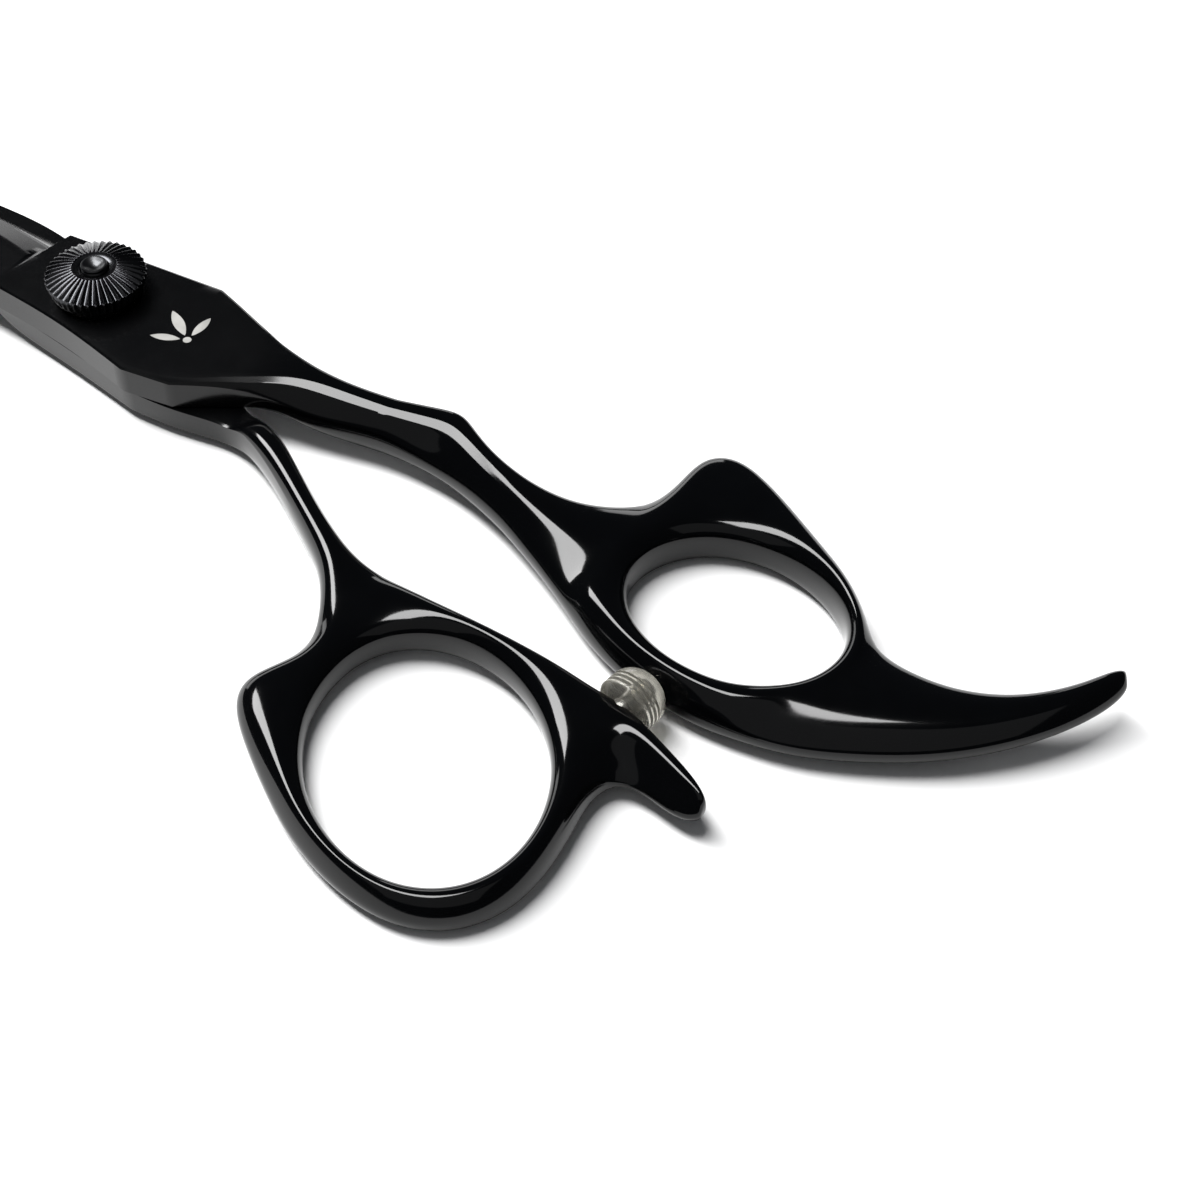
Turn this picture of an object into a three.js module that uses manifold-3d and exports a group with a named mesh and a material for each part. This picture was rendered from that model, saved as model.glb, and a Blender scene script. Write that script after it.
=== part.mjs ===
// Hair cutting shears, 6.0 inch class, closed and lying flat.
// Millimetres, +Z up. Origin: the pivot axis where the screw head meets the table.
// +X runs from the pivot to the handles, +Y to the side the finger ring leans to.
import * as THREE from "three";
import Module from "manifold-3d";

const wasm = await Module();
wasm.setup();
const { Manifold, Mesh: ManifoldMesh } = wasm;

// ---------------------------------------------------------------- dimensions

const PLATE = {
  thumbTop: 3.3,       // riding face of the thumb blade
  fingerBottom: 3.45,  // riding face of the finger blade
};

const EDGE_THICKNESS = 0.16; // left at the cutting edges
const FIT = 0.02;            // between pieces clamped together

const SCREW = {
  headRadius: 4.6,
  headHeight: 0.6,
  spannerHoleRadius: 0.5,
  spannerHoleOffset: 2.9,
  keyRadius: 2.3,      // shouldered neck in the thumb blade
  keyFlat: 1.8,        // half distance across its two flats
  shaftRadius: 1.85,
  keyedRadius: 1.6,    // where it carries the click plate
  threadFlat: 1.3,     // half distance across the flats that key the click plate
  threadRadius: 1.3,
  shaftTop: 6.42,
  top: 9.75,
  dishRadius: 1.0,
  dishDepth: 0.35,
};

const BUSH = { inner: 1.95, outer: 2.38, bore: 2.4, bottom: 3.5, top: 6.4 };

const BEARING = {
  count: 8,
  ballRadius: 0.6,
  trackRadius: 4.0,
  cageInner: 3.05,
  cageOuter: 4.95,
  cageHalfHeight: 0.3,
  windowRadius: 0.75,
  pocketInner: 2.88,
  pocketOuter: 5.15,
  pocketFloor: 0.78,   // from the ball centres to either pocket floor
};

const STACK = {
  glideInner: 1.95,
  glideOuter: 3.9,
  glideBottom: 6.42,
  glideTop: 6.66,
  springInner: 2.3,
  springOuter: 3.6,
  springBottom: 6.7,
  springTop: 7.0,
  springWave: 0.12,
  springHalf: 0.07,    // half the thickness of its strip
  clickOuter: 3.9,
  clickBottom: 7.16,
  clickTop: 7.5,
  clickNotches: 12,
  detentRadius: 0.45,
  detentTrack: 3.0,
};

const DIAL = {
  rimRadius: 4.95,
  rimHeight: 8.75,
  baseRadius: 4.45,
  bottom: 6.62,
  fluteRadius: 2.25,   // where the flutes start
  fluteTop: 9.5,
  landTop: 9.35,
  bore: 1.42,
  cavityRadius: 4.15,
  cavityTop: 8.1,
  flutes: 40,
  fluteDepth: 0.14,
};

const BUMPER = {
  base: [71.1, -11.5],
  heading: 84,         // degrees from +X
  height: 3.5,
  radius: 2.75,
  length: 3.75,
  bore: 1.0,
  boreDepth: 2.6,
  studRadius: 0.84,
  studRidge: 0.12,
  studRidges: 5,
  studInside: 3.0,     // length of the stud inside the handle
  studHole: 1.02,
};

const COATING = { color: 0x0b0c0e, roughness: 0.18, metalness: 0.75 };

// ------------------------------------------------------- outlines of the halves

// Finger half, tip to ring: far x, far y, near x, near y.
const FINGER_STRIP = [
  [-64.6, 0.25, -64.8, -0.35],
  [-60, 1.0, -60, -1.25],
  [-50, 2.15, -50, -2.75],
  [-38, 3.3, -38, -4.0],
  [-26, 4.3, -26, -4.95],
  [-16, 4.85, -16, -5.3],
  [-8.9, 5.0, -10.4, -5.35],
  [-8.3, 4.75, -9.4, -5.35],
  [0, 5.9, 0, -5.5],
  [9.6, 7.2, 9.6, -7.1],
  [12.9, 6.4, 14.8, -6.05],
  [16.1, 5.5, 18.3, -3.35],
  [19.2, 4.8, 20.8, -1.95],
  [22.2, 4.4, 23.4, -0.8],
  [25.5, 4.3, 26.4, -0.2],
  [29.5, 4.7, 29.6, 0.7],
  [33.3, 5.6, 33.4, 1.8],
  [36.4, 6.9, 37.0, 2.1],
  [38.9, 8.0, 39.8, 2.1],
  [40.8, 7.1, 42.4, 1.9],
  [43.7, 5.8, 45.6, 1.3],
  [47.5, 4.9, 49.0, 0.4],
  [51.5, 4.9, 52.6, -1.0],
  [55.3, 5.9, 55.8, -2.3],
];

const FINGER_HOLE = { x: 72.6, y: 3.3, long: 10.4, short: 8.15, turn: 0 };

// Outer points round the finger ring, anticlockwise from the shank's near side.
const FINGER_RING = [
  [59.4, -4.0], [63.0, -5.8], [67.0, -7.2], [71.2, -7.9], [75.6, -8.1],
  [79.8, -7.5], [83.0, -3.8], [85.0, -0.6], [85.5, 3.2], [84.5, 6.8],
  [82.0, 9.6], [78.6, 12.3], [74.4, 14.4], [70.0, 16.6], [65.8, 18.4],
  [61.9, 19.3], [59.4, 17.4], [59.6, 13.2], [59.2, 9.4],
  [58.5, 5.4], [58.3, 1.7], [58.8, -0.7],
];
const FINGER_RING_SHANK = [18, 19, 20, 21, 0];  // where the shank joins, far to near
const FINGER_RING_TANG = [9, 8, 7, 6, 5];       // where the tang joins, far to near
const FINGER_JOINS = { 19: 0, 20: 0, 21: 0.14, 8: 0, 7: 0, 6: 0.05 };  // how far these posts drop

const TANG_STRIP = [
  [88.4, 6.1, 84.4, -6.4],
  [92.2, 6.4, 89.4, -3.8],
  [95.9, 7.8, 94.5, -0.5],
  [99.0, 10.0, 98.8, 3.5],
  [101.4, 12.9, 102.4, 8.3],
  [102.7, 15.3, 104.3, 12.9],
  [103.6, 16.0, 104.5, 14.6],
];

// Thumb half, tip to ring.
const THUMB_STRIP = [
  [-64.6, 0.4, -64.8, -0.2],
  [-60, 1.5, -60, -0.75],
  [-50, 3.0, -50, -1.75],
  [-38, 4.5, -38, -2.85],
  [-26, 5.9, -26, -3.85],
  [-16, 6.9, -16, -4.5],
  [-10.4, 6.3, -11, -4.8],
  [-8.2, 5.9, -8.2, -5.1],
  [0, 5.6, 0, -5.6],
  [9.6, 5.3, 9.7, -6.8],
  [14.0, 3.2, 14.8, -6.4],
  [17.6, 0.6, 19.4, -5.1],
  [20.4, -2.5, 21.2, -5.1],
  [24.5, -2.6, 23.2, -5.3],
  [29.1, -5.0, 28.1, -7.3],
  [34.1, -7.9, 33.2, -10.1],
  [37.9, -9.8, 37.0, -12.2],
  [41.5, -11.3, 40.6, -14.5],
];

const THUMB_HOLE = { x: 60.7, y: -25.1, long: 13.6, short: 10.3, turn: -41 };

const THUMB_RING = [
  [44.6, -19.8], [44.8, -23.2], [42.4, -27.0], [43.4, -29.7], [47.4, -32.4],
  [51.5, -34.8], [55.5, -36.9], [60.0, -38.4], [64.6, -39.1], [69.0, -38.7],
  [72.8, -36.4], [74.9, -32.6], [75.3, -28.2], [74.6, -23.8],
  [73.6, -19.6], [72.9, -16.9], [71.8, -14.9], [70.0, -12.8], [67.3, -11.2],
  [63.6, -10.9], [59.4, -11.0], [55.0, -11.2], [50.4, -11.4],
  [45.4, -11.7], [44.3, -13.6], [43.8, -15.5], [44.0, -17.5],
];
const THUMB_RING_SHANK = [23, 24, 25, 26, 0];
const THUMB_RING_TAIL = [18, 17, 16, 15, 14];
const THUMB_JOINS = { 24: 0, 25: 0, 26: 0.05, 17: 0, 16: 0.04, 15: 0.3 };

const TAIL_STRIP = [
  [72.0, -11.6, 74.6, -17.0],
  [75.8, -12.9, 77.2, -16.9],
  [79.4, -14.1, 79.6, -17.4],
  [81.5, -15.1, 81.5, -17.3],
  [82.4, -15.8, 82.4, -16.8],
];

// Heights along the halves: x, value. Straight in between.
const FINGER_TOP = [[-64.8, 4.5], [-38, 5.5], [-11, 6.4], [24, 6.4], [39, 6.0], [52, 5.3], [56, 5.2]];
const FINGER_BOTTOM = [[-64.8, 3.45], [22, 3.45], [26, 1.5], [30, 0.9], [52, 0.35], [56, 0.2]];
const THUMB_TOP = [[-64.8, 3.3], [21.5, 3.3], [24, 5.3], [30, 5.2], [41, 5.0]];
const THUMB_BOTTOM = [[-64.8, 2.5], [-38, 1.6], [-11, 0.62], [21.5, 0.62], [30, 0.9], [41, 0.6]];

// -------------------------------------------------------------- small helpers

function along(table, x) {
  if (x <= table[0][0]) return table[0][1];
  for (let i = 1; i < table.length; i += 1) {
    const [x1, v1] = table[i];
    if (x > x1) continue;
    const [x0, v0] = table[i - 1];
    return v0 + ((v1 - v0) * (x - x0)) / (x1 - x0);
  }
  return table[table.length - 1][1];
}

const mix = (a, b, t) => a + (b - a) * t;
const radians = (degrees) => (degrees * Math.PI) / 180;

// A cage of quads with sharp edges, smoothed by Catmull-Clark subdivision.
class Cage {
  constructor() {
    this.points = [];
    this.quads = [];
    this.sharp = new Set();
  }

  add(x, y, z) {
    this.points.push([x, y, z]);
    return this.points.length - 1;
  }

  static key(a, b) {
    return a < b ? `${a}_${b}` : `${b}_${a}`;
  }

  crease(line) {
    for (let i = 1; i < line.length; i += 1) this.sharp.add(Cage.key(line[i - 1], line[i]));
  }

  subdivide() {
    const next = new Cage();
    const average = (list) => [0, 1, 2].map((k) => list.reduce((s, p) => s + p[k], 0) / list.length);
    const P = this.points;
    const faceCentre = this.quads.map((q) => average(q.map((i) => P[i])));
    const edges = new Map();
    const around = P.map(() => ({ faces: [], edges: [] }));
    this.quads.forEach((q, f) => {
      q.forEach((a, i) => {
        const b = q[(i + 1) % 4];
        const key = Cage.key(a, b);
        if (!edges.has(key)) {
          edges.set(key, { a, b, faces: [], sharp: this.sharp.has(key) });
          around[a].edges.push(key);
          around[b].edges.push(key);
        }
        edges.get(key).faces.push(f);
        around[a].faces.push(f);
      });
    });
    P.forEach((p, i) => {
      const mids = around[i].edges.map((k) => average([P[edges.get(k).a], P[edges.get(k).b]]));
      const creased = around[i].edges.filter((k) => edges.get(k).sharp);
      const n = around[i].edges.length;
      if (creased.length > 2) {
        next.add(...p);
      } else if (creased.length === 2) {
        const ends = creased.map((k) => edges.get(k)).map((e) => P[e.a === i ? e.b : e.a]);
        next.add(...p.map((v, k) => 0.75 * v + 0.125 * (ends[0][k] + ends[1][k])));
      } else {
        const F = average(around[i].faces.map((f) => faceCentre[f]));
        const R = average(mids);
        next.add(...p.map((v, k) => (F[k] + 2 * R[k] + (n - 3) * v) / n));
      }
    });
    edges.forEach((e) => {
      const ends = [P[e.a], P[e.b]];
      e.point = next.add(...average(e.sharp ? ends : [...ends, ...e.faces.map((f) => faceCentre[f])]));
      if (e.sharp) {
        next.crease([e.a, e.point, e.b]);
      }
    });
    this.quads.forEach((q, f) => {
      const c = next.add(...faceCentre[f]);
      const mids = q.map((a, i) => edges.get(Cage.key(a, q[(i + 1) % 4])).point);
      q.forEach((a, i) => next.quads.push([a, mids[i], c, mids[(i + 3) % 4]]));
    });
    return next;
  }

  geometry() {
    const geometry = new THREE.BufferGeometry();
    const P = this.points;
    const gap = (a, b) => Math.hypot(...[0, 1, 2].map((k) => P[a][k] - P[b][k]));
    const index = [];
    this.quads.forEach(([a, b, c, d]) => {
      if (gap(a, c) <= gap(b, d)) index.push(a, b, c, a, c, d);
      else index.push(a, b, d, b, c, d);
    });
    geometry.setAttribute("position", new THREE.Float32BufferAttribute(P.flat(), 3));
    geometry.setIndex(index);
    return geometry;
  }
}

// A plate with a top and a bottom sheet over the same plan, closed by walls.
class Slab {
  constructor() {
    this.cage = new Cage();
    this.posts = [];
    this.plan = [];
  }

  post(top, bottom) {
    this.posts.push({ top: this.cage.add(...top), bottom: this.cage.add(...bottom), middle: null });
    return this.posts.length - 1;
  }

  patch(rows) {
    for (let i = 1; i < rows.length; i += 1) {
      for (let j = 1; j < rows[i].length; j += 1) {
        this.plan.push([rows[i - 1][j - 1], rows[i][j - 1], rows[i][j], rows[i - 1][j]]);
      }
    }
  }

  close(bulge) {
    const { cage, posts } = this;
    const at = (post) => cage.points[posts[post].top];
    const directed = new Map();
    this.plan = this.plan.map((q) => {
      let area = 0;
      q.forEach((a, i) => {
        const [p, r] = [at(a), at(q[(i + 1) % 4])];
        area += p[0] * r[1] - r[0] * p[1];
      });
      return area > 0 ? q : [...q].reverse();
    });
    this.plan.forEach((q) => {
      cage.quads.push(q.map((i) => posts[i].top));
      cage.quads.push([...q].reverse().map((i) => posts[i].bottom));
      q.forEach((a, i) => directed.set(`${a}_${q[(i + 1) % 4]}`, [a, q[(i + 1) % 4]]));
    });
    const rim = [...directed.values()].filter(([a, b]) => !directed.has(`${b}_${a}`));
    const outward = new Map();
    rim.forEach(([a, b]) => {
      const [p, q] = [at(a), at(b)];
      const length = Math.hypot(q[0] - p[0], q[1] - p[1]) || 1;
      [a, b].forEach((i) => {
        const sum = outward.get(i) || [0, 0];
        outward.set(i, [sum[0] + (q[1] - p[1]) / length, sum[1] - (q[0] - p[0]) / length]);
      });
    });
    outward.forEach(([nx, ny], i) => {
      const t = cage.points[posts[i].top];
      const b = cage.points[posts[i].bottom];
      const push = bulge(t[0], t[1]) / (Math.hypot(nx, ny) || 1);
      const [x, y] = [mix(t[0], b[0], 0.5) + nx * push, mix(t[1], b[1], 0.5) + ny * push];
      posts[i].middle = cage.add(x, y, mix(t[2], b[2], 0.5));
    });
    rim.forEach(([a, b]) => {
      const [p, q] = [posts[a], posts[b]];
      cage.quads.push([p.bottom, q.bottom, q.middle, p.middle]);
      cage.quads.push([p.middle, q.middle, q.top, p.top]);
    });
    return cage;
  }
}

// ------------------------------------------------------------- the two halves

// Shape across each half, far edge to near edge, at a few places along it.
// split: where the three inner lines run; drop and lift: how far each line of the
// top and of the bottom sits inside the thickness, as a share of it.
const FINGER_PROFILE = [
  { x: -16, split: [0.17, 0.4, 0.96], drop: [1, 0.25, 0, 0.03, 0.35], lift: [0, 0, 0, 0, 0] },
  { x: -9.65, split: [0.24, 0.5, 0.96], drop: [1, 0.25, 0, 0.03, 0.35], lift: [0, 0, 0, 0, 0] },
  { x: -8.85, split: [0.02, 0.96, 0.985], drop: [0.05, 0, 0, 0, 0.06], lift: [0, 0, 0, 0, 0] },
  { x: 15.2, split: [0.02, 0.95, 0.985], drop: [0.05, 0, 0, 0.01, 0.06], lift: [0, 0, 0, 0, 0] },
  { x: 20, split: [0.05, 0.81, 0.93], drop: [0.07, 0, 0, 0.06, 0.3], lift: [0, 0, 0, 0, 0] },
  { x: 24, split: [0.1, 0.5, 0.66], drop: [0.1, 0, 0, 0.075, 0.38], lift: [0.1, 0, 0, 0, 0.1] },
  { x: 27, split: [0.09, 0.38, 0.62], drop: [0.12, 0, 0, 0.09, 0.38], lift: [0.2, 0, 0, 0, 0.2] },
  { x: 33, split: [0.12, 0.5, 0.71], drop: [0.12, 0, 0, 0.065, 0.36], lift: [0.2, 0, 0, 0, 0.2] },
  { x: 39.4, split: [0.12, 0.4, 0.56], drop: [0.14, 0, 0, 0.08, 0.38], lift: [0.2, 0, 0, 0, 0.2] },
  { x: 44.5, split: [0.14, 0.4, 0.63], drop: [0.14, 0, 0, 0.09, 0.36], lift: [0.2, 0, 0, 0, 0.2] },
  { x: 49, split: [0.14, 0.46, 0.59], drop: [0.14, 0, 0, 0.055, 0.36], lift: [0.2, 0, 0, 0, 0.2] },
  { x: 57, split: [0.27, 0.57, 0.72], drop: [0.14, 0, 0, 0.1, 0.36], lift: [0.2, 0, 0, 0, 0.2] },
];

const THUMB_PROFILE = [
  { x: -16, split: [0.04, 0.2, 0.71], drop: [0, 0, 0, 0, 0], lift: [0.35, 0.1, 0, 0, 1] },
  { x: -10.7, split: [0.04, 0.2, 0.62], drop: [0, 0, 0, 0, 0], lift: [0.35, 0.1, 0, 0, 1] },
  { x: -8.2, split: [0.04, 0.5, 0.96], drop: [0, 0, 0, 0, 0], lift: [0.12, 0, 0, 0, 0.12] },
  { x: 20, split: [0.08, 0.5, 0.92], drop: [0, 0, 0, 0, 0], lift: [0.12, 0, 0, 0, 0.12] },
  { x: 24, split: [0.14, 0.36, 0.84], drop: [0.3, 0.1, 0, 0.03, 0.2], lift: [0.2, 0, 0, 0, 0.2] },
  { x: 34, split: [0.14, 0.36, 0.8], drop: [0.3, 0.1, 0, 0.03, 0.26], lift: [0.2, 0, 0, 0, 0.2] },
  { x: 42, split: [0.2, 0.45, 0.75], drop: [0.22, 0.03, 0, 0.03, 0.26], lift: [0.2, 0, 0, 0, 0.2] },
];

const TANG_PROFILE = [
  { x: 84, split: [0.25, 0.5, 0.75], drop: [0.18, 0, 0, 0.1, 0.42], lift: [0.2, 0, 0, 0, 0.2] },
  { x: 104, split: [0.25, 0.5, 0.75], drop: [0.2, 0, 0, 0.12, 0.42], lift: [0.2, 0, 0, 0, 0.2] },
];
const TAIL_PROFILE = [
  { x: 72, split: [0.18, 0.4, 0.7], drop: [0.08, 0, 0.03, 0.4, 0.62], lift: [0.15, 0, 0, 0, 0.2] },
  { x: 80, split: [0.2, 0.42, 0.7], drop: [0.14, 0, 0.04, 0.3, 0.56], lift: [0.15, 0, 0, 0, 0.2] },
];

const FINGER_RING_TOP = [[56, 5.2], [70, 4.9], [95, 4.9], [103.5, 5.4], [104, 5.1]];
const FINGER_RING_BOTTOM = [[56, 0.2], [64, 0], [85, 0.1], [92, 0.6], [98, 1.4], [103.5, 2.6], [104, 3.4]];
const THUMB_RING_TOP = [[-39, 3.7], [-11, 5.0]];       // against y
const THUMB_RING_BOTTOM = [[-39, 0], [-11, 0.7]];      // against y
const TAIL_TOP = [[72, 4.75], [81.4, 4.75], [82.4, 4.3]];
const TAIL_BOTTOM = [[70, 0.65], [76, 0.9], [81.4, 1.0], [82.4, 1.9]];
// Lines across a half are numbered from its far edge, 0, to its near edge, 4.
const FINGER_CREASES = {
  crests: [2, 3],
  crestsTo: 46,
  corners: [
    { row: 6, from: 0, to: 4, whole: false },
    { row: 7, from: 0, to: 4, whole: false },
    { row: 9, from: 0, to: 4, whole: true },
    { row: 10, from: 3, to: 4, whole: true },
    { row: 16, from: 0, to: 3, whole: false },
  ],
};
const THUMB_CREASES = {
  crests: [4],
  crestsTo: 32,
  corners: [
    { row: 7, from: 0, to: 4, whole: false },
    { row: 9, from: 0, to: 4, whole: true },
  ],
};
// The rings' rolled edges: how wide, and how deep as a share of the thickness on the side
// that faces +Y and on the side that faces -Y.
const ROLL = { width: 1.5, mostShare: 0.36, innerFar: 0.2, innerNear: 0.18, outerFar: 0.2, outerNear: 0.42 };
const CRISP_TO = 19;  // every line is crisp up to here, along X

function profileAt(profile, x) {
  const pick = (name, i) => along(profile.map((row) => [row.x, row[name][i]]), x);
  return {
    split: [0, ...[0, 1, 2].map((i) => pick("split", i)), 1],
    drop: [0, 1, 2, 3, 4].map((i) => pick("drop", i)),
    lift: [0, 1, 2, 3, 4].map((i) => pick("lift", i)),
  };
}

const BACK_SPLIT = [0, 0.07, 0.5, 0.93, 1];  // lines on the flat riding face

// One row of five posts across a half.
function stripRow(slab, [fx, fy, nx, ny], profile, top, bottom, flatFace) {
  const x = mix(fx, nx, 0.5);
  const { split, drop, lift } = profileAt(profile, x);
  const [zt, zb] = [top(x), bottom(x)];
  const tall = zt - zb;
  return split.map((s, i) => {
    const su = flatFace === "top" && x < 22 ? BACK_SPLIT[i] : s;
    const sd = flatFace === "bottom" && x < 22 ? BACK_SPLIT[i] : s;
    const up = Math.max(zb + EDGE_THICKNESS, zt - drop[i] * tall);
    const down = Math.min(zt - EDGE_THICKNESS, zb + lift[i] * tall);
    return slab.post([mix(fx, nx, su), mix(fy, ny, su), up], [mix(fx, nx, sd), mix(fy, ny, sd), down]);
  });
}

function holePoint(hole, x, y) {
  const turn = radians(hole.turn);
  const [dx, dy] = [x - hole.x, y - hole.y];
  const [u, v] = [dx * Math.cos(turn) + dy * Math.sin(turn), dy * Math.cos(turn) - dx * Math.sin(turn)];
  const reach = 1 / Math.hypot(u / hole.long, v / hole.short);
  return [hole.x + dx * reach, hole.y + dy * reach];
}

// The ring: outer posts round the outline, with middle and inner posts towards the hole.
function ringPosts(slab, outline, hole, joined, top, bottom) {
  const rows = outline.map(([x, y], i) => {
    const [ix, iy] = holePoint(hole, x, y);
    const roll = Math.min(ROLL.width / Math.hypot(x - ix, y - iy), ROLL.mostShare);
    const near = 0.5 - (0.5 * (y - hole.y)) / Math.hypot(x - hole.x, y - hole.y);
    const inner = mix(ROLL.innerFar, ROLL.innerNear, near);
    const outer = i in joined ? joined[i] : mix(ROLL.outerFar, ROLL.outerNear, near);
    const column = (share, drop) => {
      const [px, py] = [mix(ix, x, share), mix(iy, y, share)];
      const [high, low] = [top(px, py), bottom(px, py)];
      const depth = drop * (high - low);
      return slab.post([px, py, high - depth], [px, py, low + 0.5 * depth]);
    };
    const slope = i in joined ? 0.4 * outer : 0;
    return [column(0, inner), column(roll, 0), column(1 - roll, slope), column(1, outer)];
  });
  slab.patch([...rows, rows[0]]);
  return rows.map((row) => row[3]);
}

function fingerHalf() {
  const slab = new Slab();
  const top = (x) => along(FINGER_TOP, x);
  const bottom = (x) => along(FINGER_BOTTOM, x);
  const rows = FINGER_STRIP.map((s) => stripRow(slab, s, FINGER_PROFILE, top, bottom, "bottom"));
  const ringTop = (x) => along(FINGER_RING_TOP, x);
  const ringBottom = (x) => along(FINGER_RING_BOTTOM, x);
  const outer = ringPosts(slab, FINGER_RING, FINGER_HOLE, FINGER_JOINS, ringTop, ringBottom);
  slab.patch([...rows, FINGER_RING_SHANK.map((i) => outer[i])]);
  const tang = TANG_STRIP.map((s) => stripRow(slab, s, TANG_PROFILE, ringTop, ringBottom, "none"));
  slab.patch([FINGER_RING_TANG.map((i) => outer[i]), ...tang]);
  const cage = slab.close((x) => (x < 20 ? 0 : 0.12));
  sharpen(slab, cage, rows, FINGER_STRIP, FINGER_CREASES);
  return cage;
}

function thumbHalf() {
  const slab = new Slab();
  const top = (x) => along(THUMB_TOP, x);
  const bottom = (x) => along(THUMB_BOTTOM, x);
  const rows = THUMB_STRIP.map((s) => stripRow(slab, s, THUMB_PROFILE, top, bottom, "top"));
  const ringTop = (x, y) => along(THUMB_RING_TOP, y);
  const ringBottom = (x, y) => along(THUMB_RING_BOTTOM, y);
  const outer = ringPosts(slab, THUMB_RING, THUMB_HOLE, THUMB_JOINS, ringTop, ringBottom);
  slab.patch([...rows, THUMB_RING_SHANK.map((i) => outer[i])]);
  const tailTop = (x) => along(TAIL_TOP, x);
  const tailBottom = (x) => along(TAIL_BOTTOM, x);
  const tail = TAIL_STRIP.map((s) => stripRow(slab, s, TAIL_PROFILE, tailTop, tailBottom, "none"));
  slab.patch([THUMB_RING_TAIL.map((i) => outer[i]), ...tail]);
  const cage = slab.close((x) => (x < 22 ? 0 : 0.12));
  sharpen(slab, cage, rows, THUMB_STRIP, THUMB_CREASES);
  return cage;
}

// Keep crisp: every line of the blade and of the flat round the pivot, the crests that run
// on along the shank, and the corners of the outline.
function sharpen(slab, cage, rows, strip, { crests, crestsTo, corners }) {
  const posts = rows.map((row) => row.map((p) => slab.posts[p]));
  posts.slice(0, -1).forEach((here, i) => {
    const x = mix(strip[i][0], strip[i][2], 0.5);
    here.forEach((post, j) => {
      const plate = x <= CRISP_TO;
      if (plate || (crests.includes(j) && x < crestsTo)) cage.crease([post.top, posts[i + 1][j].top]);
      if (plate) cage.crease([post.bottom, posts[i + 1][j].bottom]);
    });
  });
  corners.forEach(({ row, from, to, whole }) => {
    const across = posts[row].slice(from, to + 1);
    cage.crease(across.map((post) => post.top));
    if (!whole) return;
    cage.crease(across.map((post) => post.bottom));
    across.filter((post) => post.middle).forEach((post) => {
      cage.crease([post.top, post.middle, post.bottom]);
    });
  });
}

// ------------------------------------------------------------- solids and cuts

function solid(geometry) {
  const source = geometry.index ? geometry : withIndex(geometry);
  const positions = new Float32Array(source.attributes.position.array);
  const mesh = new ManifoldMesh({
    numProp: 3,
    vertProperties: positions,
    triVerts: new Uint32Array(source.index.array),
  });
  mesh.merge();
  return new Manifold(mesh);
}

function withIndex(geometry) {
  const count = geometry.attributes.position.count;
  geometry.setIndex([...Array(count).keys()]);
  return geometry;
}

function toGeometry(manifold) {
  const mesh = manifold.getMesh();
  const geometry = new THREE.BufferGeometry();
  geometry.setAttribute("position", new THREE.Float32BufferAttribute(mesh.vertProperties, 3));
  geometry.setIndex([...mesh.triVerts]);
  geometry.computeVertexNormals();
  return geometry;
}

function cut(body, ...tools) {
  return tools.reduce((left, tool) => left.subtract(tool), body);
}

// A body turned about Z from [radius, height] points that start and end on the axis or close.
function turned(points, segments = 32) {
  const profile = points.map(([r, z]) => new THREE.Vector2(r, z));
  const geometry = new THREE.LatheGeometry(profile, segments);
  geometry.rotateX(Math.PI / 2);
  return solid(geometry);
}

function disc(radius, bottom, top, segments = 32) {
  return turned([[0, bottom], [radius, bottom], [radius, top], [0, top]], segments);
}

function washer(inner, outer, bottom, top, segments = 32) {
  return turned([[inner, bottom], [outer, bottom], [outer, top], [inner, top], [inner, bottom]], segments);
}

// A round bar with two flats.
function flattedBar(radius, halfFlat, bottom, top) {
  const reach = Math.acos(halfFlat / radius);
  const shape = new THREE.Shape();
  shape.absarc(0, 0, radius, -Math.PI / 2 + reach, Math.PI / 2 - reach, false);
  shape.absarc(0, 0, radius, Math.PI / 2 + reach, (3 * Math.PI) / 2 - reach, false);
  const options = { depth: top - bottom, bevelEnabled: false, curveSegments: 10 };
  const geometry = new THREE.ExtrudeGeometry(shape, options);
  geometry.translate(0, 0, bottom);
  return solid(geometry);
}

function aboutPivot(count, radius, make) {
  return Array.from({ length: count }, (_, i) => {
    const angle = (2 * Math.PI * i) / count;
    return make(radius * Math.cos(angle), radius * Math.sin(angle), i);
  });
}

function at(body, x, y, z = 0) {
  return body.translate([x, y, z]);
}

// From along Z at the origin to lying along the bumper's axis.
function onBumperAxis(body) {
  return body.rotate([0, 90, 0]).rotate([0, 0, BUMPER.heading]).translate([...BUMPER.base, BUMPER.height]);
}

// ------------------------------------------------------------------ the pieces

const ballHeight = mix(PLATE.thumbTop, PLATE.fingerBottom, 0.5);
const detentHeight = STACK.clickTop + STACK.detentRadius + 0.03;

function fingerBlade() {
  const body = solid(fingerHalf().subdivide().geometry());
  const pocketTop = ballHeight + BEARING.pocketFloor;
  return cut(
    body,
    disc(BUSH.bore, 0, 8),
    washer(BEARING.pocketInner, BEARING.pocketOuter, 2.5, pocketTop, 40),
  );
}

function thumbBlade() {
  const body = solid(thumbHalf().subdivide().geometry());
  const pocketBottom = ballHeight - BEARING.pocketFloor;
  const studHole = disc(BUMPER.studHole, -BUMPER.studInside - 0.2, 1, 24);
  const seat = disc(BUMPER.radius + 0.2, 0, 3);
  return cut(
    body,
    flattedBar(SCREW.keyRadius + FIT, SCREW.keyFlat + FIT, 0, 4),
    washer(BEARING.pocketInner, BEARING.pocketOuter, pocketBottom, 4, 40),
    onBumperAxis(studHole),
    onBumperAxis(seat),
  );
}

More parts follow.
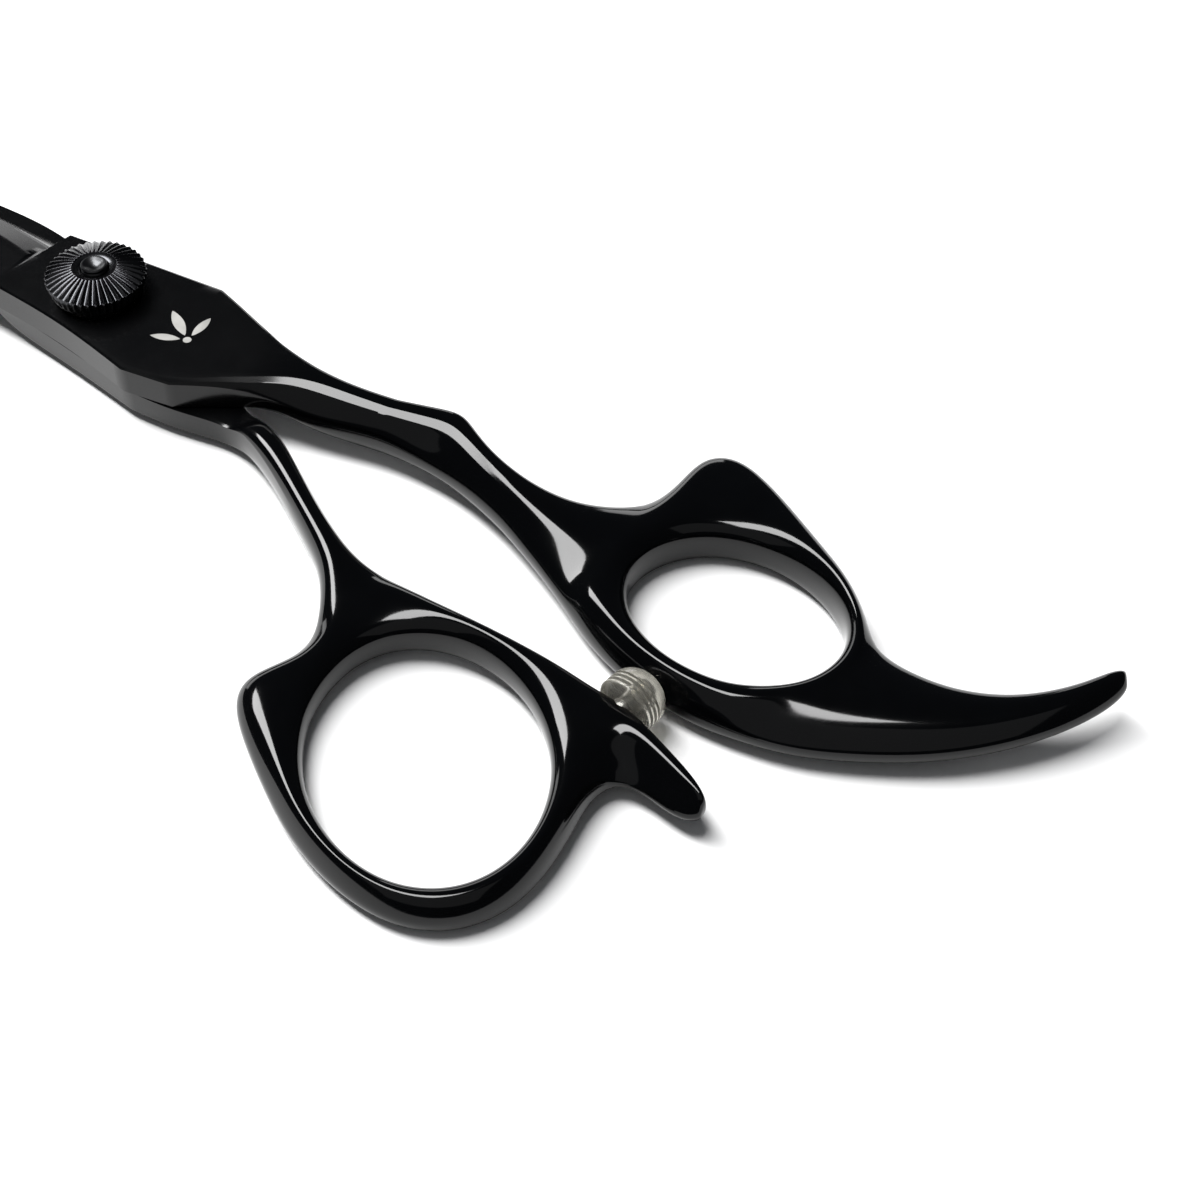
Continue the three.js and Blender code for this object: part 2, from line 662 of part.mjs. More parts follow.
function pivotScrew() {
  const spannerHole = disc(SCREW.spannerHoleRadius, -1, 0.35, 12);
  const spannerHoles = [-1, 1].map((side) => at(spannerHole, 0, side * SCREW.spannerHoleOffset));
  const dishFloor = SCREW.top - SCREW.dishDepth;
  const dish = turned([
    [0, dishFloor], [0.35, dishFloor], [SCREW.dishRadius, SCREW.top], [SCREW.dishRadius, 11], [0, 11],
  ]);
  const head = disc(SCREW.headRadius, 0, SCREW.headHeight, 40);
  const neck = flattedBar(SCREW.keyRadius, SCREW.keyFlat, SCREW.headHeight - 0.1, PLATE.thumbTop);
  const shaft = disc(SCREW.shaftRadius, PLATE.thumbTop - 0.1, SCREW.shaftTop);
  const key = flattedBar(SCREW.keyedRadius, SCREW.threadFlat, SCREW.shaftTop - 0.1, STACK.clickTop + 0.1);
  const thread = disc(SCREW.threadRadius, STACK.clickTop, SCREW.top);
  return cut(head.add(neck).add(shaft).add(key).add(thread), dish, ...spannerHoles);
}

function pivotBush() {
  return washer(BUSH.inner, BUSH.outer, BUSH.bottom, BUSH.top);
}

function bearingCage() {
  const half = BEARING.cageHalfHeight;
  const ring = washer(BEARING.cageInner, BEARING.cageOuter, ballHeight - half, ballHeight + half, 40);
  const window = disc(BEARING.windowRadius, 0, 8, 12);
  return cut(ring, ...aboutPivot(BEARING.count, BEARING.trackRadius, (x, y) => at(window, x, y)));
}

function ball(radius, x, y, z) {
  const geometry = new THREE.IcosahedronGeometry(radius, 1);
  geometry.deleteAttribute("normal");
  geometry.deleteAttribute("uv");
  return solid(withIndex(geometry)).translate([x, y, z]);
}

function glideWasher() {
  return washer(STACK.glideInner, STACK.glideOuter, STACK.glideBottom, STACK.glideTop);
}

// A thin ring that rises and falls three times round.
function waveSpring() {
  const segments = 36;
  const points = [];
  const index = [];
  const middle = mix(STACK.springBottom, STACK.springTop, 0.5);
  const { springInner: inner, springOuter: outer, springHalf: half } = STACK;
  const corners = [[inner, -half], [outer, -half], [outer, half], [inner, half]];
  for (let i = 0; i < segments; i += 1) {
    const angle = (2 * Math.PI * i) / segments;
    const z = middle + STACK.springWave * Math.sin(3 * angle);
    corners.forEach(([r, dz]) => points.push(r * Math.cos(angle), r * Math.sin(angle), z + dz));
    for (let k = 0; k < 4; k += 1) {
      const [a, b] = [4 * i + k, 4 * i + ((k + 1) % 4)];
      const [c, d] = [(a + 4) % (4 * segments), (b + 4) % (4 * segments)];
      index.push(a, c, b, b, c, d);
    }
  }
  const geometry = new THREE.BufferGeometry();
  geometry.setAttribute("position", new THREE.Float32BufferAttribute(points, 3));
  geometry.setIndex(index);
  return solid(flipIfInside(geometry));
}

function flipIfInside(geometry) {
  const p = geometry.attributes.position.array;
  const index = [...geometry.index.array];
  let volume = 0;
  for (let i = 0; i < index.length; i += 3) {
    const [a, b, c] = [0, 1, 2].map((k) => new THREE.Vector3().fromArray(p, 3 * index[i + k]));
    volume += a.dot(b.cross(c));
  }
  if (volume < 0) geometry.setIndex(index.reverse());
  return geometry;
}

function clickPlate() {
  const plate = disc(STACK.clickOuter, STACK.clickBottom, STACK.clickTop);
  const notch = disc(0.4, 5, 9, 8);
  return cut(
    plate,
    flattedBar(SCREW.keyedRadius + 0.06, SCREW.threadFlat + 0.06, 5, 9),
    ...aboutPivot(STACK.clickNotches, STACK.detentTrack, (x, y) => at(notch, x, y)),
  );
}

// Fluted nut: the marked stretch of the outline is pushed in at every other step.
function tensionDial() {
  const outline = [
    { r: DIAL.bore, z: DIAL.cavityTop },
    { r: DIAL.cavityRadius, z: DIAL.cavityTop },
    { r: DIAL.cavityRadius, z: DIAL.bottom },
    { r: DIAL.baseRadius - 0.15, z: DIAL.bottom },
    { r: DIAL.baseRadius, z: DIAL.bottom + 0.25, push: [1, 0] },
    { r: DIAL.rimRadius, z: DIAL.rimHeight - 0.35, push: [1, 0] },
    { r: DIAL.rimRadius - 0.12, z: DIAL.rimHeight, push: [0.7, 0.7] },
    { r: DIAL.fluteRadius, z: DIAL.fluteTop, push: [0, 1] },
    { r: DIAL.fluteRadius - 0.1, z: DIAL.landTop },
    { r: DIAL.bore, z: DIAL.landTop },
  ];
  const steps = 2 * DIAL.flutes;
  const points = [];
  const index = [];
  for (let i = 0; i < steps; i += 1) {
    const angle = (2 * Math.PI * i) / steps;
    const depth = i % 2 === 0 ? 0 : DIAL.fluteDepth;
    outline.forEach(({ r, z, push = [0, 0] }) => {
      const radius = r - depth * push[0];
      points.push(radius * Math.cos(angle), radius * Math.sin(angle), z - depth * push[1]);
    });
    for (let k = 0; k < outline.length; k += 1) {
      const n = outline.length;
      const [a, b] = [n * i + k, n * i + ((k + 1) % n)];
      const [c, d] = [(a + n) % (n * steps), (b + n) % (n * steps)];
      index.push(a, c, b, b, c, d);
    }
  }
  const geometry = new THREE.BufferGeometry();
  geometry.setAttribute("position", new THREE.Float32BufferAttribute(points, 3));
  geometry.setIndex(index);
  const pocket = disc(STACK.detentRadius + 0.13, 7.5, detentHeight + STACK.detentRadius + 0.08, 12);
  const pockets = [-1, 1].map((side) => at(pocket, side * STACK.detentTrack, 0));
  return cut(solid(flipIfInside(geometry)), ...pockets);
}

// Clear dome with a straight skirt and a blind bore for its stud.
function bumper() {
  const { radius, length, bore, boreDepth } = BUMPER;
  const arc = Array.from({ length: 8 }, (_, i) => {
    const angle = (Math.PI / 2) * (i / 7);
    return [radius * Math.cos(angle), length - radius * 0.8 + radius * 0.8 * Math.sin(angle)];
  });
  arc[arc.length - 1][0] = 0;
  const outline = [[0, boreDepth], [bore, boreDepth], [bore, 0], [radius - 0.15, 0], [radius, 0.3], ...arc];
  return onBumperAxis(turned(outline, 32));
}

function bumperStud() {
  const { studRadius, studRidge, studRidges, studInside, boreDepth } = BUMPER;
  const end = boreDepth - 0.2;
  const step = end / studRidges;
  const ridges = Array.from({ length: studRidges }, (_, i) => [
    [studRadius - studRidge, i * step + 0.2 * step],
    [studRadius, i * step + 0.6 * step],
  ]).flat();
  const shank = [[0, -studInside], [studRadius, -studInside], [studRadius, 0]];
  const outline = [...shank, ...ridges, [studRadius - 0.3, end], [0, end]];
  return onBumperAxis(turned(outline, 20));
}

// -------------------------------------------------------------------- assembly

const FINISH = {
  coat: COATING,
  steel: { color: 0xb9bcc0, roughness: 0.25, metalness: 1 },
  bronze: { color: 0x9a7446, roughness: 0.35, metalness: 1 },
  polymer: { color: 0xd9d7cf, roughness: 0.5, metalness: 0 },
  clear: { color: 0xd8dad8, roughness: 0.15, metalness: 0, transparent: true, opacity: 0.45 },
};

const shears = new THREE.Group();
shears.name = "hair_cutting_shears";

function place(name, body, finish) {
  const mesh = new THREE.Mesh(toGeometry(body), new THREE.MeshStandardMaterial(FINISH[finish]));
  mesh.name = name;
  shears.add(mesh);
}

place("finger_blade", fingerBlade(), "coat");
place("thumb_blade", thumbBlade(), "coat");
place("pivot_screw", pivotScrew(), "coat");
place("pivot_bush", pivotBush(), "bronze");
place("bearing_cage", bearingCage(), "bronze");
aboutPivot(BEARING.count, BEARING.trackRadius, (x, y, i) => {
  place(`bearing_ball_${i + 1}`, ball(BEARING.ballRadius, x, y, ballHeight), "steel");
});
place("glide_washer", glideWasher(), "polymer");
place("wave_spring", waveSpring(), "steel");
place("click_plate", clickPlate(), "steel");
[-1, 1].forEach((side, i) => {
  place(`detent_ball_${i + 1}`, ball(STACK.detentRadius, side * STACK.detentTrack, 0, detentHeight), "steel");
});
place("tension_dial", tensionDial(), "coat");
place("bumper", bumper(), "clear");
place("bumper_stud", bumperStud(), "steel");

export default shears;
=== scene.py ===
"""Hair cutting shears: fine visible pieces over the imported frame, with studio floor, light and camera."""

import math

import bmesh
import bpy
from mathutils import Matrix, Vector


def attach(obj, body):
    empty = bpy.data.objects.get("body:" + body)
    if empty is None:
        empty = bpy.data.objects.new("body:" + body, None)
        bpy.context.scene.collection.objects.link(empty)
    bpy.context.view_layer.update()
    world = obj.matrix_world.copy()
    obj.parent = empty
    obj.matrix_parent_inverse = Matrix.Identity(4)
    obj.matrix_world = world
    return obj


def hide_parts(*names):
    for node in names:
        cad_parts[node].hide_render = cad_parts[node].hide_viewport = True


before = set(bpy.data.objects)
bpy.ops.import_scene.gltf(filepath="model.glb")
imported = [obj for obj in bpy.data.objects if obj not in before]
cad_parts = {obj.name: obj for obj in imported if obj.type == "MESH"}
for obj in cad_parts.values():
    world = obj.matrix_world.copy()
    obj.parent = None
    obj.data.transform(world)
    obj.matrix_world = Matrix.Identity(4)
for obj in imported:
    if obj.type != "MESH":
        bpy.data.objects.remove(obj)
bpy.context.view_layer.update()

MM = 0.001

# ------------------------------------------------------------------ dimensions, mm

EDGE_THICKNESS = 0.16
SMOOTHING = 3              # subdivision levels on the two halves
CREASED_TO = 19            # lines are crisp up to here, measured from the pivot
SWELL = {"push": 0.12, "finger_from": 20, "thumb_from": 22}   # of the handles' side walls

BORE = 2.4                 # finger blade's hole for the bush
NECK = 2.32                # thumb blade's hole for the screw's neck
BALL_HEIGHT = 3.375        # middle of the ball bearing, in the gap between the halves
POCKET = {"inner": 2.88, "outer": 5.15, "depth": 0.78}   # for the bearing, in either blade

DIAL = {
    "rim": 4.95, "rim_height": 8.75, "base": 4.45, "bottom": 6.62, "flute_start": 2.25,
    "flute_top": 9.5, "land": 9.35, "bore": 1.42, "cavity": 4.15, "cavity_top": 8.1,
    "flutes": 40, "depth": 0.24,
}

DETENT = {"track": 3.0, "pocket": 0.58, "pocket_top": 8.51}

SCREW = {
    "head": 4.6, "head_height": 0.6, "spanner": 0.5, "spanner_offset": 2.9,
    "neck": 2.28, "neck_top": 3.3, "shaft": 1.85, "shaft_top": 6.42, "flatted": 1.3,
    "flatted_top": 7.6, "top": 9.75, "dish": 1.02, "dish_depth": 0.42,
    "thread": 1.3, "thread_depth": 0.08, "pitch": 0.24,
}

BUMPER = {
    "base": (71.1, -11.5), "heading": 84, "height": 3.5, "radius": 2.75, "length": 3.75,
    "bore": 1.0, "bore_depth": 2.6, "stud": 0.94, "ridge": 0.22, "ridges": 5,
    "stud_inside": 3.0, "stud_hole": 1.02, "rings": 3, "groove": 0.24,
    "dome_share": 0.8, "seat_play": 0.2,
}

ORNAMENT = {
    "at": (12.0, -0.4), "depth": 0.03, "proud": 0.008, "dot": 0.42,
    "leaves": ((150, 4.0, 1.1), (95, 3.0, 0.9), (205, 3.0, 0.9)),  # heading, length, width
    "leaf_start": 0.7,
}

# Finger half, tip to ring: far x, far y, near x, near y.
FINGER_STRIP = [
    (-64.6, 0.25, -64.8, -0.35),
    (-60, 1.0, -60, -1.25),
    (-50, 2.15, -50, -2.75),
    (-38, 3.3, -38, -4.0),
    (-26, 4.3, -26, -4.95),
    (-16, 4.85, -16, -5.3),
    (-8.9, 5.0, -10.4, -5.35),
    (-8.3, 4.75, -9.4, -5.35),
    (0, 5.9, 0, -5.5),
    (9.6, 7.2, 9.6, -7.1),
    (12.9, 6.4, 14.8, -6.05),
    (16.1, 5.5, 18.3, -3.35),
    (19.2, 4.8, 20.8, -1.95),
    (22.2, 4.4, 23.4, -0.8),
    (25.5, 4.3, 26.4, -0.2),
    (29.5, 4.7, 29.6, 0.7),
    (33.3, 5.6, 33.4, 1.8),
    (36.4, 6.9, 37.0, 2.1),
    (38.9, 8.0, 39.8, 2.1),
    (40.8, 7.1, 42.4, 1.9),
    (43.7, 5.8, 45.6, 1.3),
    (47.5, 4.9, 49.0, 0.4),
    (51.5, 4.9, 52.6, -1.0),
    (55.3, 5.9, 55.8, -2.3),
]

FINGER_HOLE = {"x": 72.6, "y": 3.3, "long": 10.4, "short": 8.15, "turn": 0}

# Outer points round the finger ring.
FINGER_RING = [
    (59.4, -4.0), (63.0, -5.8), (67.0, -7.2), (71.2, -7.9), (75.6, -8.1),
    (79.8, -7.5), (83.0, -3.8), (85.0, -0.6), (85.5, 3.2), (84.5, 6.8),
    (82.0, 9.6), (78.6, 12.3), (74.4, 14.4), (70.0, 16.6), (65.8, 18.4),
    (61.9, 19.3), (59.4, 17.4), (59.6, 13.2), (59.2, 9.4),
    (58.5, 5.4), (58.3, 1.7), (58.8, -0.7),
]
FINGER_RING_SHANK = (18, 19, 20, 21, 0)
FINGER_RING_TANG = (9, 8, 7, 6, 5)
# How far each of these outer posts drops, as a share of the thickness.
FINGER_JOINS = {19: 0, 20: 0, 21: 0.14, 8: 0, 7: 0, 6: 0.05}

TANG_STRIP = [
    (88.4, 6.1, 84.4, -6.4),
    (92.2, 6.4, 89.4, -3.8),
    (95.9, 7.8, 94.5, -0.5),
    (99.0, 10.0, 98.8, 3.5),
    (101.4, 12.9, 102.4, 8.3),
    (102.7, 15.3, 104.3, 12.9),
    (103.6, 16.0, 104.5, 14.6),
]

THUMB_STRIP = [
    (-64.6, 0.4, -64.8, -0.2),
    (-60, 1.5, -60, -0.75),
    (-50, 3.0, -50, -1.75),
    (-38, 4.5, -38, -2.85),
    (-26, 5.9, -26, -3.85),
    (-16, 6.9, -16, -4.5),
    (-10.4, 6.3, -11, -4.8),
    (-8.2, 5.9, -8.2, -5.1),
    (0, 5.6, 0, -5.6),
    (9.6, 5.3, 9.7, -6.8),
    (14.0, 3.2, 14.8, -6.4),
    (17.6, 0.6, 19.4, -5.1),
    (20.4, -2.5, 21.2, -5.1),
    (24.5, -2.6, 23.2, -5.3),
    (29.1, -5.0, 28.1, -7.3),
    (34.1, -7.9, 33.2, -10.1),
    (37.9, -9.8, 37.0, -12.2),
    (41.5, -11.3, 40.6, -14.5),
]

THUMB_HOLE = {"x": 60.7, "y": -25.1, "long": 13.6, "short": 10.3, "turn": -41}

THUMB_RING = [
    (44.6, -19.8), (44.8, -23.2), (42.4, -27.0), (43.4, -29.7), (47.4, -32.4),
    (51.5, -34.8), (55.5, -36.9), (60.0, -38.4), (64.6, -39.1), (69.0, -38.7),
    (72.8, -36.4), (74.9, -32.6), (75.3, -28.2), (74.6, -23.8),
    (73.6, -19.6), (72.9, -16.9), (71.8, -14.9), (70.0, -12.8), (67.3, -11.2),
    (63.6, -10.9), (59.4, -11.0), (55.0, -11.2), (50.4, -11.4),
    (45.4, -11.7), (44.3, -13.6), (43.8, -15.5), (44.0, -17.5),
]
THUMB_RING_SHANK = (23, 24, 25, 26, 0)
THUMB_RING_TAIL = (18, 17, 16, 15, 14)
THUMB_JOINS = {24: 0, 25: 0, 26: 0.05, 17: 0, 16: 0.04, 15: 0.3}

TAIL_STRIP = [
    (72.0, -11.6, 74.6, -17.0),
    (75.8, -12.9, 77.2, -16.9),
    (79.4, -14.1, 79.6, -17.4),
    (81.5, -15.1, 81.5, -17.3),
    (82.4, -15.8, 82.4, -16.8),
]

# Heights along the halves: x, value. Straight in between.
FINGER_TOP = [(-64.8, 4.5), (-38, 5.5), (-11, 6.4), (24, 6.4), (39, 6.0), (52, 5.3), (56, 5.2)]
FINGER_BOTTOM = [(-64.8, 3.45), (22, 3.45), (26, 1.5), (30, 0.9), (52, 0.35), (56, 0.2)]
THUMB_TOP = [(-64.8, 3.3), (21.5, 3.3), (24, 5.3), (30, 5.2), (41, 5.0)]
THUMB_BOTTOM = [(-64.8, 2.5), (-38, 1.6), (-11, 0.62), (21.5, 0.62), (30, 0.9), (41, 0.6)]
FINGER_RING_TOP = [(56, 5.2), (70, 4.9), (95, 4.9), (103.5, 5.4), (104, 5.1)]
FINGER_RING_BOTTOM = [(56, 0.2), (64, 0), (85, 0.1), (92, 0.6), (98, 1.4), (103.5, 2.6), (104, 3.4)]
THUMB_RING_TOP = [(-39, 3.7), (-11, 5.0)]
THUMB_RING_BOTTOM = [(-39, 0), (-11, 0.7)]
TAIL_TOP = [(72, 4.75), (81.4, 4.75), (82.4, 4.3)]
TAIL_BOTTOM = [(70, 0.65), (76, 0.9), (81.4, 1.0), (82.4, 1.9)]

# Across each half, far edge to near edge: x, where the three inner lines run, then how far
# each line of the top and of the underside sits inside the thickness, as a share of it.
FINGER_PROFILE = [
    (-16, (0.17, 0.4, 0.96), (1, 0.25, 0, 0.03, 0.35), (0, 0, 0, 0, 0)),
    (-9.65, (0.24, 0.5, 0.96), (1, 0.25, 0, 0.03, 0.35), (0, 0, 0, 0, 0)),
    (-8.85, (0.02, 0.96, 0.985), (0.05, 0, 0, 0, 0.06), (0, 0, 0, 0, 0)),
    (15.2, (0.02, 0.95, 0.985), (0.05, 0, 0, 0.01, 0.06), (0, 0, 0, 0, 0)),
    (20, (0.05, 0.81, 0.93), (0.07, 0, 0, 0.06, 0.3), (0, 0, 0, 0, 0)),
    (24, (0.1, 0.5, 0.66), (0.1, 0, 0, 0.075, 0.38), (0.1, 0, 0, 0, 0.1)),
    (27, (0.09, 0.38, 0.62), (0.12, 0, 0, 0.09, 0.38), (0.2, 0, 0, 0, 0.2)),
    (33, (0.12, 0.5, 0.71), (0.12, 0, 0, 0.065, 0.36), (0.2, 0, 0, 0, 0.2)),
    (39.4, (0.12, 0.4, 0.56), (0.14, 0, 0, 0.08, 0.38), (0.2, 0, 0, 0, 0.2)),
    (44.5, (0.14, 0.4, 0.63), (0.14, 0, 0, 0.09, 0.36), (0.2, 0, 0, 0, 0.2)),
    (49, (0.14, 0.46, 0.59), (0.14, 0, 0, 0.055, 0.36), (0.2, 0, 0, 0, 0.2)),
    (57, (0.27, 0.57, 0.72), (0.14, 0, 0, 0.1, 0.36), (0.2, 0, 0, 0, 0.2)),
]
THUMB_PROFILE = [
    (-16, (0.04, 0.2, 0.71), (0, 0, 0, 0, 0), (0.35, 0.1, 0, 0, 1)),
    (-10.7, (0.04, 0.2, 0.62), (0, 0, 0, 0, 0), (0.35, 0.1, 0, 0, 1)),
    (-8.2, (0.04, 0.5, 0.96), (0, 0, 0, 0, 0), (0.12, 0, 0, 0, 0.12)),
    (20, (0.08, 0.5, 0.92), (0, 0, 0, 0, 0), (0.12, 0, 0, 0, 0.12)),
    (24, (0.14, 0.36, 0.84), (0.3, 0.1, 0, 0.03, 0.2), (0.2, 0, 0, 0, 0.2)),
    (34, (0.14, 0.36, 0.8), (0.3, 0.1, 0, 0.03, 0.26), (0.2, 0, 0, 0, 0.2)),
    (42, (0.2, 0.45, 0.75), (0.22, 0.03, 0, 0.03, 0.26), (0.2, 0, 0, 0, 0.2)),
]
TANG_PROFILE = [
    (84, (0.25, 0.5, 0.75), (0.18, 0, 0, 0.1, 0.42), (0.2, 0, 0, 0, 0.2)),
    (104, (0.25, 0.5, 0.75), (0.2, 0, 0, 0.12, 0.42), (0.2, 0, 0, 0, 0.2)),
]
TAIL_PROFILE = [
    (72, (0.18, 0.4, 0.7), (0.08, 0, 0.03, 0.4, 0.62), (0.15, 0, 0, 0, 0.2)),
    (80, (0.2, 0.42, 0.7), (0.14, 0, 0.04, 0.3, 0.56), (0.15, 0, 0, 0, 0.2)),
]
RIDING_SPLIT = (0, 0.07, 0.5, 0.93, 1)   # lines on a blade's flat riding face
RIDING_TO = 22
# The rings' rolled edges: how wide, and how deep as a share of the thickness on the side
# that faces +Y (far) and on the side that faces -Y (near).
ROLL = {
    "width": 1.5, "most_share": 0.36,
    "inner_far": 0.2, "inner_near": 0.18, "outer_far": 0.2, "outer_near": 0.42,
}
# Lines across a half are numbered from its far edge, 0, to its near edge, 4. crests: line, and
# the x it stays crisp to. corners: row, first line, last line, whether round to the underside.
FINGER_CREASES = {
    "crests": {2: 46, 3: 46},
    "corners": ((6, 0, 4, False), (7, 0, 4, False), (9, 0, 4, True), (10, 3, 4, True), (16, 0, 3, False)),
}
THUMB_CREASES = {
    "crests": {4: 32},
    "corners": ((7, 0, 4, False), (9, 0, 4, True)),
}


# ---------------------------------------------------------------------- small helpers

def along(table, x):
    """The value at x in a table of (x, value) rows, straight in between."""
    if x <= table[0][0]:
        return table[0][1]
    for (x0, v0), (x1, v1) in zip(table, table[1:]):
        if x <= x1:
            return v0 + (v1 - v0) * (x - x0) / (x1 - x0)
    return table[-1][1]


def mix(a, b, t):
    return a + (b - a) * t


def new_object(name, mesh):
    obj = bpy.data.objects.new(name, mesh)
    bpy.context.scene.collection.objects.link(obj)
    return obj


# ------------------------------------------------------------------ the two steel halves

class Slab:
    """A top and a bottom sheet over one plan, closed by walls, as a cage to smooth."""

    def __init__(self):
        self.points = []
        self.posts = []
        self.plan = []
        self.quads = []
        self.creases = {}

    def add(self, point):
        self.points.append(tuple(point))
        return len(self.points) - 1

    def post(self, top, bottom):
        self.posts.append([self.add(top), self.add(bottom), None])
        return len(self.posts) - 1

    def patch(self, rows):
        for a, b in zip(rows, rows[1:]):
            for j in range(1, len(a)):
                self.plan.append([a[j - 1], b[j - 1], b[j], a[j]])

    def crease(self, line, sharpness=1.0):
        for a, b in zip(line, line[1:]):
            self.creases[(min(a, b), max(a, b))] = sharpness

    def close(self, bulge):
        """Adds both sheets and the walls; bulge(x) pushes the middle of a wall outwards."""
        top = [self.points[post[0]] for post in self.posts]
        sides = {}
        for quad in self.plan:
            area = sum(
                top[a][0] * top[b][1] - top[b][0] * top[a][1]
                for a, b in zip(quad, quad[1:] + quad[:1])
            )
            ring = quad if area > 0 else quad[::-1]
            self.quads.append([self.posts[i][0] for i in ring])
            self.quads.append([self.posts[i][1] for i in ring[::-1]])
            for a, b in zip(ring, ring[1:] + ring[:1]):
                sides[(a, b)] = True
        rim = [(a, b) for a, b in sides if (b, a) not in sides]
        outward = {}
        for a, b in rim:
            run = Vector(top[b][:2]) - Vector(top[a][:2])
            normal = Vector((run.y, -run.x)).normalized()
            for i in (a, b):
                outward[i] = outward.get(i, Vector((0, 0))) + normal
        for i, normal in outward.items():
            high = Vector(self.points[self.posts[i][0]])
            low = Vector(self.points[self.posts[i][1]])
            push = normal.normalized() * bulge(high.x)
            self.posts[i][2] = self.add((high + low) / 2 + Vector((push.x, push.y, 0)))
        for a, b in rim:
            p, q = self.posts[a], self.posts[b]
            self.quads.append([p[1], q[1], q[2], p[2]])
            self.quads.append([p[2], q[2], q[0], p[0]])

    def build(self, name):
        mesh = bpy.data.meshes.new(name)
        mesh.from_pydata([Vector(p) * MM for p in self.points], [], self.quads)
        layer = mesh.attributes.new("crease_edge", "FLOAT", "EDGE")
        for edge in mesh.edges:
            key = (min(edge.vertices), max(edge.vertices))
            layer.data[edge.index].value = self.creases.get(key, 0.0)
        obj = new_object(name, mesh)
        smooth = obj.modifiers.new("smooth", "SUBSURF")
        smooth.levels = SMOOTHING
        smooth.render_levels = SMOOTHING
        return baked(obj)


def baked(obj):
    """The object with its modifiers made real."""
    graph = bpy.context.evaluated_depsgraph_get()
    mesh = bpy.data.meshes.new_from_object(obj.evaluated_get(graph))
    obj.modifiers.clear()
    obj.data = mesh
    return obj


def soften(obj, degrees=28):
    """Smooth shading, with edges sharper than the angle kept crisp."""
    limit = math.radians(degrees)
    mesh = bmesh.new()
    mesh.from_mesh(obj.data)
    for face in mesh.faces:
        face.smooth = True
    for edge in mesh.edges:
        edge.smooth = len(edge.link_faces) == 2 and edge.calc_face_angle(0) < limit
    mesh.to_mesh(obj.data)
    mesh.free()
    return obj


def profile_at(profile, x):
    def pick(column, i):
        return along([(row[0], row[column][i]) for row in profile], x)

    split = [0] + [pick(1, i) for i in range(3)] + [1]
    return split, [pick(2, i) for i in range(5)], [pick(3, i) for i in range(5)]


def strip_row(slab, edges, profile, top, bottom, riding=None):
    """Five posts across a half, from its far edge to its near edge."""
    fx, fy, nx, ny = edges
    x = mix(fx, nx, 0.5)
    split, drop, lift = profile_at(profile, x)
    high, low = top(x), bottom(x)
    posts = []
    for i, share in enumerate(split):
        upper = RIDING_SPLIT[i] if riding == "top" and x < RIDING_TO else share
        under = RIDING_SPLIT[i] if riding == "bottom" and x < RIDING_TO else share
        up = max(low + EDGE_THICKNESS, high - drop[i] * (high - low))
        down = min(high - EDGE_THICKNESS, low + lift[i] * (high - low))
        posts.append(slab.post(
            (mix(fx, nx, upper), mix(fy, ny, upper), up),
            (mix(fx, nx, under), mix(fy, ny, under), down),
        ))
    return posts


def hole_point(hole, x, y):
    """Where the line from the hole's centre to (x, y) crosses its oval."""
    turn = math.radians(hole["turn"])
    dx, dy = x - hole["x"], y - hole["y"]
    u = dx * math.cos(turn) + dy * math.sin(turn)
    v = dy * math.cos(turn) - dx * math.sin(turn)
    reach = 1 / math.hypot(u / hole["long"], v / hole["short"])
    return hole["x"] + dx * reach, hole["y"] + dy * reach


def ring_posts(slab, outline, hole, joined, top, bottom):
    """Posts round a ring; gives back the outer ones."""
    rows = []
    for i, (x, y) in enumerate(outline):
        ix, iy = hole_point(hole, x, y)
        roll = min(ROLL["width"] / math.hypot(x - ix, y - iy), ROLL["most_share"])
        near = 0.5 - 0.5 * (y - hole["y"]) / math.hypot(x - hole["x"], y - hole["y"])
        inner = mix(ROLL["inner_far"], ROLL["inner_near"], near)
        outer = joined[i] if i in joined else mix(ROLL["outer_far"], ROLL["outer_near"], near)
        slope = 0.4 * outer if i in joined else 0
        row = []
        for share, drop in ((0, inner), (roll, 0), (1 - roll, slope), (1, outer)):
            px, py = mix(ix, x, share), mix(iy, y, share)
            high, low = top(px, py), bottom(px, py)
            depth = drop * (high - low)
            row.append(slab.post((px, py, high - depth), (px, py, low + 0.5 * depth)))
        rows.append(row)
    slab.patch(rows + rows[:1])
    return [row[3] for row in rows]


def sharpen(slab, rows, strip, creases):
    """Keeps crisp the lines of the blade and of the flat, the crests and the corners."""
    posts = [[slab.posts[p] for p in row] for row in rows]
    for i, (here, after) in enumerate(zip(posts, posts[1:])):
        x = mix(strip[i][0], strip[i][2], 0.5)
        for j in range(5):
            if x <= CREASED_TO or x < creases["crests"].get(j, 0):
                slab.crease([here[j][0], after[j][0]])
            if x <= CREASED_TO:
                slab.crease([here[j][1], after[j][1]])
    for row, first, last, whole in creases["corners"]:
        across = posts[row][first:last + 1]
        slab.crease([post[0] for post in across])
        if whole:
            slab.crease([post[1] for post in across])
            for top, bottom, middle in across:
                if middle is not None:
                    slab.crease([top, middle, bottom])


